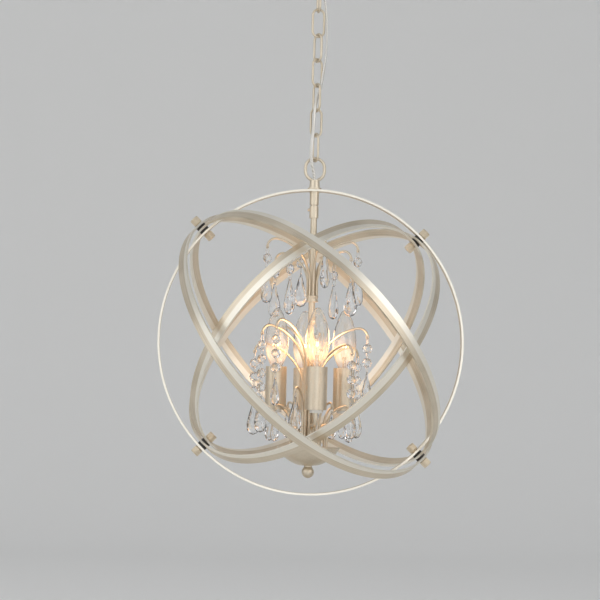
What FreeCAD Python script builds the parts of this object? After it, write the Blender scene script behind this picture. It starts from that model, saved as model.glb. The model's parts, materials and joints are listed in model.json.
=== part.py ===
import FreeCAD, Part
import math
import os
from FreeCAD import Placement, Rotation, Vector

# An orb chandelier: a ceiling canopy, seven chain links and a fixture whose fixed hoop carries four
# swivelling rings round a lit, crystal-hung centre. Millimetres, +Z up, origin on the ceiling.

# --- ceiling fitting ---
canopyR = 63.5
canopyDepth = 25.0
canopyWall = 1.2
canopyShoulder = 9.0        # radius of the rounded edge between its side and its face
strapWidth = 22.0
strapThick = 2.0
strapSlotSpan = 79.5        # centre to centre of the two slots
strapSlotLength = 24.0
strapEnd = 4.3              # metal beyond each slot
strapSlotWidth = 5.0
nippleR = 5.0
cordBore = 3.2              # wireway through nipple, loops and stem
collarNutR = 11.0
collarNutHeight = 8.0
screwFit = 0.15             # clearance of a screwed or slid fit
tightFit = 0.03             # clearance of a pressed or soldered fit

# --- loops and chain ---
loopWidth = 29.0
loopHeight = 33.0
loopWireR = 2.0
loopSeat = 2.4              # how deep a loop stands in its collar
loopCollarR = 7.0
loopCollarHeight = 10.0
linkInnerLength = 33.1
linkWidth = 18.4
linkWireR = 1.5
wireGap = 0.3               # between two wires that hook into each other
linkTwists = (-80.0, 10.0, -56.0, 38.0, -60.0, 24.0, -66.0)     # top link first
canopyLoopTwist = 8.0
hubLoopTwist = 4.0

# --- cord ---
cordD = 4.4
cordBlend = 0.45            # share of a run that each bend may take
cordPoints = (
    (0.0, 0.0, -3.0),
    (0.02, 0.01, -18.0),
    (0.0, 0.0, -34.0),
    (0.2, -0.4, -46.0),
    (2.2, -3.4, -58.0),
    (5.6, -6.6, -70.0),
    (6.6, -7.2, -83.0),
    (8.6, -6.3, -97.0),
    (10.3, -4.8, -112.0),
    (11.4, -3.8, -128.0),
    (11.5, -3.4, -144.0),
    (10.8, -3.2, -160.0),
    (9.4, -2.9, -175.0),
    (7.6, -2.3, -188.0),
    (5.7, -1.6, -201.0),
    (0.5, -2.2, -217.0),
    (-2.6, -6.2, -233.0),
    (-3.2, -7.2, -248.0),
    (-4.2, -7.4, -264.0),
    (-5.4, -6.8, -279.0),
    (-6.2, -6.1, -292.0),
    (-5.0, -4.8, -304.0),
    (-1.3, -1.2, -315.0),
    (-0.01, 0.0, -327.0),
    (0.0, 0.0, -341.0),
)

# --- orb ---
hoopR = 200.0               # outside of the fixed hoop
bandWidth = 15.0
bandThick = 2.6
bandGap = 3.4               # between two bands at a pivot
pivotAngle = 45.0           # of both pivot axes to the horizontal
ringTilts = (121.0, 65.7, 120.3, 58.3)      # outer to inner ring, from the hoop's plane
pivotBoltR = 2.0
pivotHoleR = 2.4
pivotWasherR = 6.6
knobR = 5.9
knobLength = 9.6
knobNeckR = 4.2
knobNeckLength = 0.9
knobRound = 1.2
knobWallEnd = 1.6           # metal left beyond the bolt's end inside a cap nut

# --- stem ---
hubTopRise = 12.5           # above the hoop
hubTopR = 6.2
hubFlangeR = 9.0
hubFlangeThick = 2.0
hubShankLength = 12.0
washerR = 6.15
washerThick = 2.2
couplingR = 5.9
upperCouplingLength = 15.5
couplingSeam = 1.6
lowerCouplingLength = 15.4
setScrewR = 1.9
setScrewUp = 10.5           # above the lower coupling's foot
setScrewHead = 2.4
stemR = 4.2
stemWall = 1.0
stemThreadR = 3.6
collarTop = 60.4            # this height and those below are from the orb's centre
collarHeight = 7.8
collarR = 8.2
collarRim = 1.8
collarWaistR = 7.4

# --- crystal arms ---
armR = 1.5
armCount = 8
armCurl = 80.0              # how far past the top the tip turns down
armBlend = 10.0             # where the big curve hands over to the tip's
eyeR = 1.7
eyeWireR = 0.8
eyeDrop = 1.9               # eye centre below the arm's tip
topArmFoot = 6.5
topArmTurn = 12.0
topArmCurlR = 11.5
topArmHigh = (50.0, 134.0)
topArmLow = (46.0, 118.0)
middleArmFoot = 8.5
middleArmTurns = (-14.5, 30.5, 75.5, 120.5, 165.5, 210.5, 231.0, 312.0)
middleArmCurlR = 11.5
middleArmReach = 63.7       # radius of each arm's apex
middleArmHeights = (19.0, -4.0, 15.0, 22.0, -2.0, 20.0, 27.0, -4.0)
lowerArmFoot = 24.0
lowerArmTurns = (-14.5, 30.5, 75.5, 120.5, 165.5, 210.5, 247.0, 300.5)
lowerArmCurlR = 5.0
lowerArmReach = 48.0
lowerArmHeights = (-83.0, -79.0, -79.0, -79.0, -83.0, -83.0, -60.0, -79.0)

# --- crystals ---
pinWireR = 0.45
pinEndR = 3.2               # of the pin wire's centreline at each end
pinLength = 10.8            # between the wire's two turning points
topPinLength = 11.4
lowerPinLength = 7.0
crystalHoleR = 1.0
crystalHoleEdge = 2.5       # hole centre below the crystal's top
beadR = 6.6
beadCorners = 8
beadThick = 6.4
dropLength = 47.0
dropWidth = 23.0
smallDropLength = 37.0
smallDropWidth = 16.0
dropThick = 9.0
girdle = 1.3                # edge thickness of every crystal
crystalShoulder = (0.80, 0.62)      # scale and share of thickness of the middle row of facets
crystalTable = 0.46
dropOutline = (             # half width and height as shares, from the top down
    (0.20, 1.00),
    (0.34, 0.80),
    (0.66, 0.52),
    (0.94, 0.32),
    (1.00, 0.22),
    (0.84, 0.09),
    (0.42, 0.00),
)
dropCentre = 0.27           # height share about which its facets shrink
topStrands = ("bd", "bd", "bd", "bd", "bd", "bd", "d", "bd")     # b bead, s small drop, d drop
middleStrands = ("bbs", "bbbd", "bs", "bbd", "bbbd", "bbbbd", "bbbs", "bbbd")
lowerStrands = ("s", "s", "s", "s", "s", "s", "d", "s")
strandSlack = 0.05          # between a pin's wire and the rim of a crystal's hole
topFacings = (25.0, -44.0, 5.0, -30.0, 31.0, -44.0, 48.0, -15.0)      # turn from the front of each eye
middleFacings = (-20.0, 30.0, 10.0, -25.0, 15.0, 28.0, -18.0, 22.0)     # and the crystals in it
lowerFacings = (25.0, -15.0, 30.0, -10.0, 20.0, -28.0, 12.0, -22.0)

# --- lamps ---
lampCount = 4
lampRing = 45.0
lampTurn = 8.0
sleeveTop = -33.0
sleeveLength = 55.5
sleeveR = 13.75
sleeveWall = 0.8
socketR = 11.5
socketInset = 7.0           # below the sleeve's top
socketBoreR = 6.4
socketBoreDepth = 26.0
seatThick = 2.2             # disc that closes the sleeve's foot
capR = 8.0
capLength = 4.0
bulbR = 15.4
bulbBelly = 33.0            # widest place above the sleeve's top
bulbCrown = (5.2, 73.0)     # radius, and height above the sleeve's top, where the rounded tip begins
bulbNeckR = 6.6
bulbNeckRise = 3.0          # of the glass above the socket's top
bulbNeckLength = 3.0
bulbWall = 0.7
bulbBaseLength = 22.0
bulbStemR = 2.0
bulbStemLength = 19.0
socketArmR = 2.6
socketArmFoot = 14.0
socketArmBend = 9.0

# --- dish ---
dishR = 41.0
dishTop = -138.0
dishBottom = -161.0
dishWall = 1.4
dishCurve = (0.70, 0.36)    # shares of its radius and depth on the curve from rim to foot
dishFootR = 11.0
coverThick = 1.4
finialR = 8.0
finialCollarR = 5.2
finialCollarHeight = 2.2
finialOverlap = 1.6         # of ball and collar
finialThread = 10.5

# --- places that follow ---
canopyFace = -canopyDepth
collarNutFoot = canopyFace - collarNutHeight
canopyCollarFoot = collarNutFoot - loopCollarHeight
loopHalf = loopHeight / 2
canopyLoopZ = canopyCollarFoot - loopHalf + loopSeat
canopyPivotZ = canopyLoopZ - loopHalf + loopWireR
linkHalf = linkInnerLength / 2 + linkWireR      # centre of a link to its wire's centreline
linkPitch = 2 * linkHalf - 2 * linkWireR - wireGap
firstLinkZ = canopyPivotZ + loopWireR + wireGap + linkWireR - linkHalf
chainEndZ = firstLinkZ - (len(linkTwists) - 1) * linkPitch - linkHalf
hubLoopTop = chainEndZ + linkWireR + wireGap + 2 * loopWireR
hubTop = hoopR + hubTopRise
hubLoopSeat = hubTop - loopSeat
orbZ = hubLoopTop - loopHeight - hubLoopSeat     # the orb's centre below the ceiling
bandPitch = bandThick + bandGap
ringRadii = (                                   # outside of each ring, outer to inner
    hoopR + 2 * bandPitch,
    hoopR + bandPitch,
    hoopR - bandPitch,
    hoopR - 2 * bandPitch,
)
ringAxes = (-pivotAngle, -pivotAngle, pivotAngle, pivotAngle)
couplingTop = hoopR - bandThick - washerThick
couplingSplit = couplingTop - upperCouplingLength
couplingBottom = couplingSplit - couplingSeam - lowerCouplingLength
setScrewZ = couplingBottom + setScrewUp
hubFoot = hoopR - hubShankLength
stemTop = hubFoot - couplingSeam
stemFoot = dishBottom - finialThread
stemBore = stemR - stemWall
threadBore = stemThreadR - stemWall
coverTop = dishTop + coverThick
sleeveFoot = sleeveTop - sleeveLength
socketTop = sleeveTop - socketInset
bulbFoot = socketTop + bulbNeckRise
bulbBaseR = socketBoreR - screwFit
topArmTurns = [topArmTurn + 360.0 * i / armCount for i in range(armCount)]
topArmApexes = (topArmHigh, topArmLow) * (armCount // 2)
middleArmApexes = [(middleArmReach, height) for height in middleArmHeights]
lowerArmApexes = [(lowerArmReach, height) for height in lowerArmHeights]
front = Vector(0, -1, 0)
up = Vector(0, 0, 1)


def rod(radius, low, high, x=0.0, y=0.0):
    return Part.makeCylinder(radius, high - low, Vector(x, y, low))


def pipe(outer, inner, low, high):
    return rod(outer, low, high).cut(rod(inner, low, high))


def turned(profile):
    """A closed outline of (radius, height) points turned round Z."""
    points = [Vector(r, 0, z) for r, z in profile]
    face = Part.Face(Part.makePolygon(points + points[:1]))
    return face.revolve(Vector(), up, 360)


def turnedFace(edges):
    return Part.Face(Part.Wire(edges)).revolve(Vector(), up, 360)


def line(a, b):
    return Part.LineSegment(a, b).toShape()


def arc(a, middle, b):
    return Part.Arc(a, middle, b).toShape()


def swept(edges, radius):
    """A round section along joined edges."""
    path = Part.Wire(edges)
    start = edges[0].firstVertex().Point
    heading = edges[0].tangentAt(edges[0].FirstParameter)
    section = Part.Wire(Part.Circle(start, heading, radius).toShape())
    return path.makePipeShell([section], True, False)


def placed(shape, turn=0.0, move=Vector()):
    """A copy turned about Z and then moved."""
    result = shape.copy()
    result.Placement = Placement(move, Rotation(up, turn)).multiply(result.Placement)
    return result


def around(count, turn=0.0):
    return [turn + 360.0 * i / count for i in range(count)]


def radial(radius, turn, height=0.0):
    angle = math.radians(turn)
    return Vector(radius * math.cos(angle), radius * math.sin(angle), height)


def link(width, height, wireR):
    """A closed wire link that stands in the XZ plane, centred on the origin."""
    bend = width / 2 - wireR
    straight = height / 2 - wireR - bend
    sides = [rod(wireR, -straight, straight, x) for x in (-bend, bend)]
    section = Part.Face(Part.Wire(Part.Circle(Vector(bend, 0, 0), up, wireR).toShape()))
    ends = []
    for side in (1, -1):
        half = section.revolve(Vector(), Vector(0, -side, 0), 180)
        half.translate(Vector(0, 0, side * straight))
        ends.append(half)
    return sides[0].multiFuse([sides[1]] + ends).removeSplitter()


# --- ceiling fitting ---
def mountingStrap():
    strapLength = strapSlotSpan + strapSlotLength + 2 * strapEnd
    corner = Vector(-strapLength / 2, -strapWidth / 2, -strapThick)
    bar = Part.makeBox(strapLength, strapWidth, strapThick, corner)
    for side in (-1, 1):
        middle = side * strapSlotSpan / 2
        reach = (strapSlotLength - strapSlotWidth) / 2
        corner = Vector(middle - reach, -strapSlotWidth / 2, -strapThick)
        slot = Part.makeBox(2 * reach, strapSlotWidth, strapThick, corner)
        ends = [rod(strapSlotWidth / 2, -strapThick, 0, middle + s * reach) for s in (-1, 1)]
        bar = bar.cut(slot.multiFuse(ends))
    return bar.cut(rod(nippleR + screwFit, -strapThick, 0))


def ceilingCanopy():
    def shell(radius, depth, shoulder):
        turn = shoulder * (1 - math.sqrt(0.5))
        rim = Vector(radius, 0, 0)
        side = Vector(radius, 0, shoulder - depth)
        face = Vector(radius - shoulder, 0, -depth)
        bulge = Vector(radius - turn, 0, turn - depth)
        centre = Vector(0, 0, -depth)
        return turnedFace([line(Vector(), rim), line(rim, side), arc(side, bulge, face), line(face, centre),
                           line(centre, Vector())])

    outer = shell(canopyR, canopyDepth, canopyShoulder)
    inner = shell(canopyR - canopyWall, canopyDepth - canopyWall, canopyShoulder - canopyWall)
    return outer.cut(inner).cut(rod(nippleR + screwFit, canopyFace, 0))


def canopyNipple():
    return pipe(nippleR, cordBore, canopyCollarFoot + loopCollarHeight / 4, 0)


def canopyCollarNut():
    nut = pipe(collarNutR, nippleR + screwFit, collarNutFoot, canopyFace)
    foot = collarNutFoot + screwFit
    edge = [e for e in nut.Edges if e.BoundBox.ZMax < foot and e.Length > 6 * collarNutR]
    return nut.makeFillet(collarNutHeight / 4, edge)


def canopyLoop():
    collar = rod(loopCollarR, canopyCollarFoot, collarNutFoot)
    ring = placed(link(loopWidth, loopHeight, loopWireR), canopyLoopTwist, Vector(0, 0, canopyLoopZ))
    body = collar.fuse(ring)
    body = body.cut(rod(nippleR + screwFit, canopyCollarFoot + loopCollarHeight / 4, collarNutFoot))
    return body.cut(rod(cordBore, canopyLoopZ, collarNutFoot)).removeSplitter()


# --- chain ---
def linkHeight(index):
    return firstLinkZ - index * linkPitch


def chainLink(index):
    shape = link(linkWidth, 2 * (linkHalf + linkWireR), linkWireR)
    return placed(shape, linkTwists[index], Vector(0, 0, linkHeight(index)))


def chainPivot(index):
    """Where a piece hooks on the one above, and the axis it swings about: the upper wire's own line."""
    if index == 0:
        height, twist = canopyPivotZ, canopyLoopTwist
    else:
        height, twist = linkHeight(index - 1) - linkHalf, linkTwists[index - 1]
    return Vector(0, 0, height), radial(1.0, twist)


# --- cord ---
def supplyCord():
    points = [Vector(*p) for p in cordPoints]
    joints = []
    radii = []
    for before, here, after in zip(points, points[1:], points[2:]):
        incoming = here - before
        outgoing = after - here
        reach = cordBlend * min(incoming.Length, outgoing.Length)
        turn = incoming.getAngle(outgoing)
        incoming.normalize()
        outgoing.normalize()
        start = here - incoming * reach
        end = here + outgoing * reach
        radius = reach / math.tan(turn / 2)
        toCentre = outgoing - incoming
        toCentre.normalize()
        middle = here + toCentre * (radius / math.cos(turn / 2) - radius)
        joints.append((start, middle, end))
        radii.append(radius)
    edges = []
    last = points[0]
    for start, middle, end in joints:
        edges.append(line(last, start))
        edges.append(arc(start, middle, end))
        last = end
    edges.append(line(last, points[-1]))
    tube = swept(edges, cordD / 2)
    length = sum(edge.Length for edge in edges)
    section = math.pi * cordD ** 2 / 4
    ratio = tube.Volume / section / length
    print("cord length %.1f, volume over section times length %.4f" % (length, ratio))
    print("cord radii", " ".join("%.0f" % radius for radius in radii))
    return tube


# --- orb ---
def band(outer):
    return Part.makeCylinder(outer, bandWidth, front * (-bandWidth / 2), front).cut(
        Part.makeCylinder(outer - bandThick, bandWidth, front * (-bandWidth / 2), front)
    )


def pivotDirection(angle):
    return Vector(math.cos(math.radians(angle)), 0, math.sin(math.radians(angle)))


def pivotBores(angle, radius):
    direction = pivotDirection(angle)
    reach = hoopR + 4 * bandPitch
    return Part.makeCylinder(radius, 2 * reach, direction * -reach, direction)


def fixedHoop():
    hoop = band(hoopR)
    for angle in (-pivotAngle, pivotAngle):
        hoop = hoop.cut(pivotBores(angle, pivotHoleR))
    return hoop.cut(rod(nippleR + screwFit, hoopR - 2 * bandPitch, hoopR + bandPitch))


def orbRing(index):
    """A ring that lies in the hoop's plane, bored for its pivots and then turned about them to its tilt."""
    axis = ringAxes[index]
    ring = band(ringRadii[index]).cut(pivotBores(axis, pivotHoleR))
    ring.rotate(Vector(), pivotDirection(axis), ringTilts[index])
    return ring


def pivotStack(angle):
    """Radii of the stack's two ends at this axis: inside and outside of the bands there."""
    radii = [r for r, axis in zip(ringRadii, ringAxes) if axis == angle] + [hoopR]
    return min(radii) - bandThick, max(radii)


def atPivots(make):
    """The solids of make(low, high), drawn along +Z, at each end of both pivot axes."""
    solids = []
    for angle in (-pivotAngle, pivotAngle):
        for turn in (0.0, 180.0):
            for shape in make(*pivotStack(angle)):
                shape.Placement = Placement(Vector(), Rotation(up, pivotDirection(angle + turn)))
                solids.append(shape)
    return solids


def bandEase(radius):
    """How far a band's curve falls away over a flat disc of this radius, with a hair's clearance."""
    return radius ** 2 / (2 * (min(ringRadii) - bandThick)) + tightFit


def knob(foot, outward):
    """A rounded knob with a short neck; outward is 1 at the stack's outer end, else -1."""
    neck = foot + outward * knobNeckLength
    tip = neck + outward * knobLength
    body = rod(knobR, min(neck, tip), max(neck, tip))
    body = body.makeFillet(knobRound, [e for e in body.Edges if e.Closed and e.Length > 5 * knobR])
    return body.fuse(rod(knobNeckR, min(foot, neck), max(foot, neck)))


def pivotBolt(low, high):
    shank = rod(pivotBoltR, low - knobNeckLength - knobLength + knobWallEnd + screwFit, high)
    return [knob(high, 1).fuse(shank).removeSplitter()]


def pivotCapNut(low, high):
    bore = rod(pivotBoltR + screwFit, low - knobNeckLength - knobLength + knobWallEnd, low)
    return [knob(low - bandEase(knobNeckR), -1).cut(bore)]


def pivotWashers(low, high):
    """One washer in each gap of the stack, eased where it faces the bands' curve."""
    washers = []
    for step in (1, 2):
        foot = low + step * bandPitch - bandGap
        top = foot + bandGap - bandEase(pivotWasherR)
        washers.append(pipe(pivotWasherR, pivotBoltR + screwFit, foot + tightFit, top))
    return washers


# --- hub and stem, with heights from the orb's centre ---
def hubLoop():
    flange = hoopR + hubFlangeThick
    body = turned([(0, hubFoot), (nippleR, hubFoot), (nippleR, hoopR), (hubFlangeR, hoopR),
                   (hubFlangeR, flange), (loopCollarR, flange), (hubTopR, hubTop), (0, hubTop)])
    ring = link(loopWidth, loopHeight, loopWireR)
    ring = placed(ring, hubLoopTwist, Vector(0, 0, hubLoopSeat + loopHalf))
    return body.fuse(ring).cut(rod(cordBore, hubFoot, hubLoopSeat + loopHalf)).removeSplitter()


def hubWasher():
    return pipe(washerR, nippleR + screwFit, couplingTop, hoopR - bandThick - bandEase(washerR))


def stemCouplings():
    bore = nippleR + screwFit
    upper = pipe(couplingR, bore, couplingSplit, couplingTop)
    lowerTop = couplingSplit - couplingSeam
    lower = pipe(couplingR, stemR + screwFit, couplingBottom, lowerTop)
    hole = Part.makeCylinder(setScrewR + screwFit, 2 * couplingR, Vector(0, 0, setScrewZ), Vector(-1, 0, 0))
    return [upper, lower.cut(hole)]


def couplingSetScrew():
    start = Vector(-stemR - screwFit, 0, setScrewZ)
    shank = Part.makeCylinder(setScrewR, couplingR - stemR + setScrewHead, start, Vector(-1, 0, 0))
    return shank.makeFillet(setScrewR / 2, [shank.Edges[0]])


def stemTube():
    return turned([(stemBore, stemTop), (stemR, stemTop), (stemR, coverTop), (stemThreadR, coverTop),
                   (stemThreadR, stemFoot), (threadBore, stemFoot), (threadBore, coverTop),
                   (stemBore, coverTop)])


def armCollar():
    foot = collarTop - collarHeight
    body = turned([(stemR + screwFit, foot), (collarR, foot), (collarR, foot + collarRim),
                   (collarWaistR, foot + collarRim), (collarWaistR, collarTop - collarRim),
                   (collarR, collarTop - collarRim), (collarR, collarTop), (stemR + screwFit, collarTop)])
    hole = rod(armR + tightFit, collarTop - collarHeight / 2, collarTop, topArmFoot)
    return body.cut(Part.Compound([placed(hole, turn) for turn in topArmTurns]))


# --- crystal arms ---
def armTip(apex, curlR):
    """Radius and height of the arm's end."""
    curl = math.radians(armCurl)
    return apex[0] + curlR * math.sin(curl), apex[1] - curlR * (1 - math.cos(curl))


def crystalArm(foot, low, apex, curlR):
    """Up from (foot, low), out along one big arc, and over the apex along a small one, in the XZ plane."""
    blend = math.radians(armBlend)
    curl = math.radians(armCurl)
    handX = apex[0] - curlR * math.sin(blend)
    handZ = apex[1] - curlR * (1 - math.cos(blend))
    bigR = (handX - foot) / (1 - math.sin(blend))
    riseZ = handZ - bigR * math.cos(blend)

    def onArc(centreX, centreZ, radius, angle):
        return Vector(centreX - radius * math.sin(angle), 0, centreZ + radius * math.cos(angle))

    half = (math.pi / 2 + blend) / 2
    start = Vector(foot, 0, low)
    rise = Vector(foot, 0, riseZ)
    hand = Vector(handX, 0, handZ)
    bigMiddle = onArc(foot + bigR, riseZ, bigR, half)
    smallMiddle = onArc(apex[0], apex[1] - curlR, curlR, (blend - curl) / 2)
    end = onArc(apex[0], apex[1] - curlR, curlR, -curl)
    return swept([line(start, rise), arc(rise, bigMiddle, hand), arc(hand, smallMiddle, end)], armR)


def faceTurn(facing):
    """The turn about Z that brings +X to this facing, counted from the front."""
    return facing - 90.0


def tierArms(foot, low, turns, apexes, curlR, facings):
    """Arms all round, each with the eye at its tip turned the way its crystals face."""
    arms = []
    for apex, angle, facing in zip(apexes, turns, facings):
        tipR, tipZ = armTip(apex, curlR)
        centre = radial(tipR, angle, tipZ - eyeDrop)
        eye = Part.makeTorus(eyeR, eyeWireR, centre, radial(1.0, faceTurn(facing)))
        arms.append(placed(crystalArm(foot, low, apex, curlR), angle).fuse(eye))
    return arms


def topArms():
    low = collarTop - collarHeight / 2
    return tierArms(topArmFoot, low, topArmTurns, topArmApexes, topArmCurlR, topFacings)


def middleArms():
    return tierArms(middleArmFoot, coverTop, middleArmTurns, middleArmApexes, middleArmCurlR,
                    middleFacings)


def lowerArms():
    return tierArms(lowerArmFoot, coverTop, lowerArmTurns, lowerArmApexes, lowerArmCurlR,
                    lowerFacings)


# --- crystals ---
def cutCrystal(outline, thick, centre):
    """A flat crystal in the YZ plane with three rows of facets each side, shrinking towards centre."""
    shoulder = (crystalShoulder[0], crystalShoulder[1] * thick / 2)
    scales = ((crystalTable, thick / 2), shoulder, (1.0, girdle / 2))
    rows = [(scale, -half) for scale, half in scales] + [(scale, half) for scale, half in reversed(scales)]
    wires = []
    for scale, x in rows:
        points = [Vector(x, y * scale, centre + (z - centre) * scale) for y, z in outline]
        wires.append(Part.makePolygon(points + points[:1]))
    return Part.makeLoft(wires, True, True)


def crystalHole(height):
    return Part.makeCylinder(crystalHoleR, 2 * dropThick, Vector(-dropThick, 0, height), Vector(1, 0, 0))


def bead():
    """Centred on the origin, with a hole at its top and its foot."""
    corners = [radial(beadR, turn) for turn in around(beadCorners, 180 / beadCorners)]
    stone = cutCrystal([(p.x, p.y) for p in corners], beadThick, 0.0)
    reach = beadR - crystalHoleEdge
    return stone.cut(crystalHole(reach)).cut(crystalHole(-reach))


def drop(length, width, holes):
    """Hung from its top at height 0; holes is 1, or 2 where another crystal hangs below it."""
    right = [(share * width / 2, (height - 1) * length) for share, height in dropOutline]
    outline = right + [(-y, z) for y, z in reversed(right)]
    stone = cutCrystal(outline, dropThick, (dropCentre - 1) * length).cut(crystalHole(-crystalHoleEdge))
    if holes == 2:
        stone = stone.cut(crystalHole(crystalHoleEdge - length))
    return stone


def pin(length):
    """The wire link between two crystals, in the XZ plane, with its upper turning point at height 0."""
    shape = link(2 * (pinEndR + pinWireR), length + 2 * pinWireR, pinWireR)
    return placed(shape, 0, Vector(0, 0, -length / 2))


def strandPivot(apex, curlR, turn):
    """The centre of the eye's lowest wire, which the strand's first pin turns about."""
    tipR, tipZ = armTip(apex, curlR)
    return radial(tipR, turn, tipZ - eyeDrop - eyeR)


def strand(pieces, firstPin):
    """Pins and crystals from the pivot down, hanging along Z with their faces to +X."""
    overlap = crystalHoleR - pinWireR - strandSlack     # of a pin's length and a hole's
    height = eyeWireR + screwFit + pinWireR
    solids = []
    for index, kind in enumerate(pieces):
        length = firstPin if index == 0 else pinLength
        last = index == len(pieces) - 1
        solids.append(placed(pin(length), 0, Vector(0, 0, height)))
        height -= length - overlap
        if kind == "b":
            reach = beadR - crystalHoleEdge
            solids.append(placed(bead(), 0, Vector(0, 0, height - reach)))
            height -= 2 * reach
        else:
            size = (dropLength, dropWidth) if kind == "d" else (smallDropLength, smallDropWidth)
            solids.append(placed(drop(*size, 1 if last else 2), 0, Vector(0, 0, height + crystalHoleEdge)))
            height -= size[0] - 2 * crystalHoleEdge
        height += overlap
    return solids


def strandPlaces():
    """Name, pieces, first pin, pivot and turn of every crystal strand."""
    tiers = (
        ("top_crystals", topStrands, topPinLength, topArmApexes, topArmCurlR, topArmTurns, topFacings),
        ("middle_crystals", middleStrands, topPinLength, middleArmApexes, middleArmCurlR, middleArmTurns,
         middleFacings),
        ("lower_crystals", lowerStrands, lowerPinLength, lowerArmApexes, lowerArmCurlR, lowerArmTurns,
         lowerFacings),
    )
    places = []
    for name, strands, firstPin, apexes, curlR, turns, facings in tiers:
        for index, angle in enumerate(turns):
            pivot = strandPivot(apexes[index], curlR, angle)
            node = "%s_%d" % (name, index + 1)
            places.append((node, strands[index], firstPin, pivot, faceTurn(facings[index])))
    return places


# --- lamps, each drawn on its own axis ---
def atLamps(shape):
    return [placed(shape, 0, radial(lampRing, turn)) for turn in around(lampCount, lampTurn)]


def socketSleeve():
    return pipe(sleeveR, sleeveR - sleeveWall, sleeveFoot, sleeveTop)


def lampSocket():
    """Insulating body with the lamp's screw bore, on a disc in the sleeve and a foot for the arm."""
    reach = sleeveR - sleeveWall - screwFit
    body = turned([(0, sleeveFoot - capLength), (capR, sleeveFoot - capLength), (capR, sleeveFoot),
                   (reach, sleeveFoot), (reach, sleeveFoot + seatThick), (socketR, sleeveFoot + seatThick),
                   (socketR, socketTop), (0, socketTop)])
    body = body.cut(rod(socketBoreR, socketTop - socketBoreDepth, socketTop))
    return body.cut(rod(socketArmR + tightFit, sleeveFoot - capLength, sleeveFoot))


def bulbBody(inset):
    """A flame-shaped solid under three arcs that meet smoothly; inset is the wall, for the inside."""
    bellyZ = sleeveTop + bulbBelly
    crownR = bulbCrown[0]
    crownZ = sleeveTop + bulbCrown[1]

    def sideR(radius, height):
        across = bulbR - radius
        return (across ** 2 + (height - bellyZ) ** 2) / (2 * across)

    def onArc(centreX, centreZ, radius, angle):
        reach = radius - inset
        return Vector(centreX + reach * math.cos(angle), 0, centreZ + reach * math.sin(angle))

    lowR = sideR(bulbNeckR, bulbFoot + bulbNeckLength)
    highR = sideR(crownR, crownZ)
    low = -math.acos((bulbNeckR - inset - bulbR + lowR) / (lowR - inset))
    lean = math.asin((crownZ - bellyZ) / highR)
    tipR = crownR / math.cos(lean)
    tipZ = crownZ - tipR * math.sin(lean)
    centre = Vector(0, 0, bulbFoot)
    foot = Vector(bulbNeckR - inset, 0, bulbFoot)
    neck, shoulder = [onArc(bulbR - lowR, bellyZ, lowR, share * low) for share in (1.0, 0.5)]
    belly = onArc(bulbR - highR, bellyZ, highR, 0.0)
    flame, crown = [onArc(bulbR - highR, bellyZ, highR, share * lean) for share in (0.5, 1.0)]
    blunt = onArc(0, tipZ, tipR, (lean + math.pi / 2) / 2)
    tip = Vector(0, 0, tipZ + tipR - inset)
    return turnedFace([line(centre, foot), line(foot, neck), arc(neck, shoulder, belly),
                       arc(belly, flame, crown), arc(crown, blunt, tip), line(tip, centre)])


def bulbGlass():
    return bulbBody(0).cut(bulbBody(bulbWall))


def bulbBase():
    """Screw cap in the socket, with the glass stem that holds the filament."""
    foot = bulbFoot - bulbBaseLength
    chamfer = bulbBaseR / 2
    cap = turned([(0, foot), (chamfer, foot), (bulbBaseR, foot + chamfer), (bulbBaseR, bulbFoot),
                  (0, bulbFoot)])
    return cap.fuse(rod(bulbStemR, bulbFoot, bulbFoot + bulbStemLength)).removeSplitter()


def socketArm():
    """From the dish cover up, out under its lamp and up into the socket's foot, in the XZ plane."""
    top = sleeveFoot - capLength / 2
    middleZ = top - 2 * socketArmBend
    low = Vector(socketArmFoot, 0, coverTop)
    first = Vector(socketArmFoot, 0, middleZ - socketArmBend)
    turnIn = math.sqrt(0.5) * socketArmBend
    firstMiddle = Vector(socketArmFoot + socketArmBend - turnIn, 0, middleZ - socketArmBend + turnIn)
    level = Vector(socketArmFoot + socketArmBend, 0, middleZ)
    levelEnd = Vector(lampRing - socketArmBend, 0, middleZ)
    secondMiddle = Vector(lampRing - socketArmBend + turnIn, 0, middleZ + socketArmBend - turnIn)
    second = Vector(lampRing, 0, middleZ + socketArmBend)
    end = Vector(lampRing, 0, top)
    return swept([line(low, first), arc(first, firstMiddle, level), line(level, levelEnd),
                  arc(levelEnd, secondMiddle, second), line(second, end)], socketArmR)


# --- dish ---
def dishBowl():
    def bowl(inset):
        rim = Vector(dishR - inset, 0, dishTop)
        foot = Vector(dishFootR, 0, dishBottom + inset)
        middle = Vector(
            dishCurve[0] * (dishR - inset), 0, foot.z + dishCurve[1] * (dishTop - dishBottom)
        )
        centre = Vector(0, 0, foot.z)
        top = Vector(0, 0, dishTop)
        return turnedFace([line(top, rim), arc(rim, middle, foot), line(foot, centre), line(centre, top)])

    bore = rod(stemThreadR + screwFit, dishBottom, dishTop)
    return bowl(0).cut(bowl(dishWall)).cut(bore)


def dishCover():
    plate = pipe(dishR, stemThreadR + screwFit, dishTop, coverTop)
    edge = [e for e in plate.Edges if e.BoundBox.ZMin > dishTop + coverThick / 2 and e.Length > 4 * dishR]
    return plate.makeFillet(coverThick / 2, edge)


def finial():
    top = dishBottom
    ballZ = top - finialCollarHeight - finialR + finialOverlap
    ball = Part.makeSphere(finialR, Vector(0, 0, ballZ))
    body = rod(finialCollarR, top - finialCollarHeight, top).fuse(ball)
    return body.cut(rod(stemThreadR + screwFit, stemFoot - screwFit, top)).removeSplitter()


def atOrb(shapes):
    """Solids given about the orb's centre, moved to where it hangs."""
    return [placed(shape, 0, Vector(0, 0, orbZ)) for shape in shapes]


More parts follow.
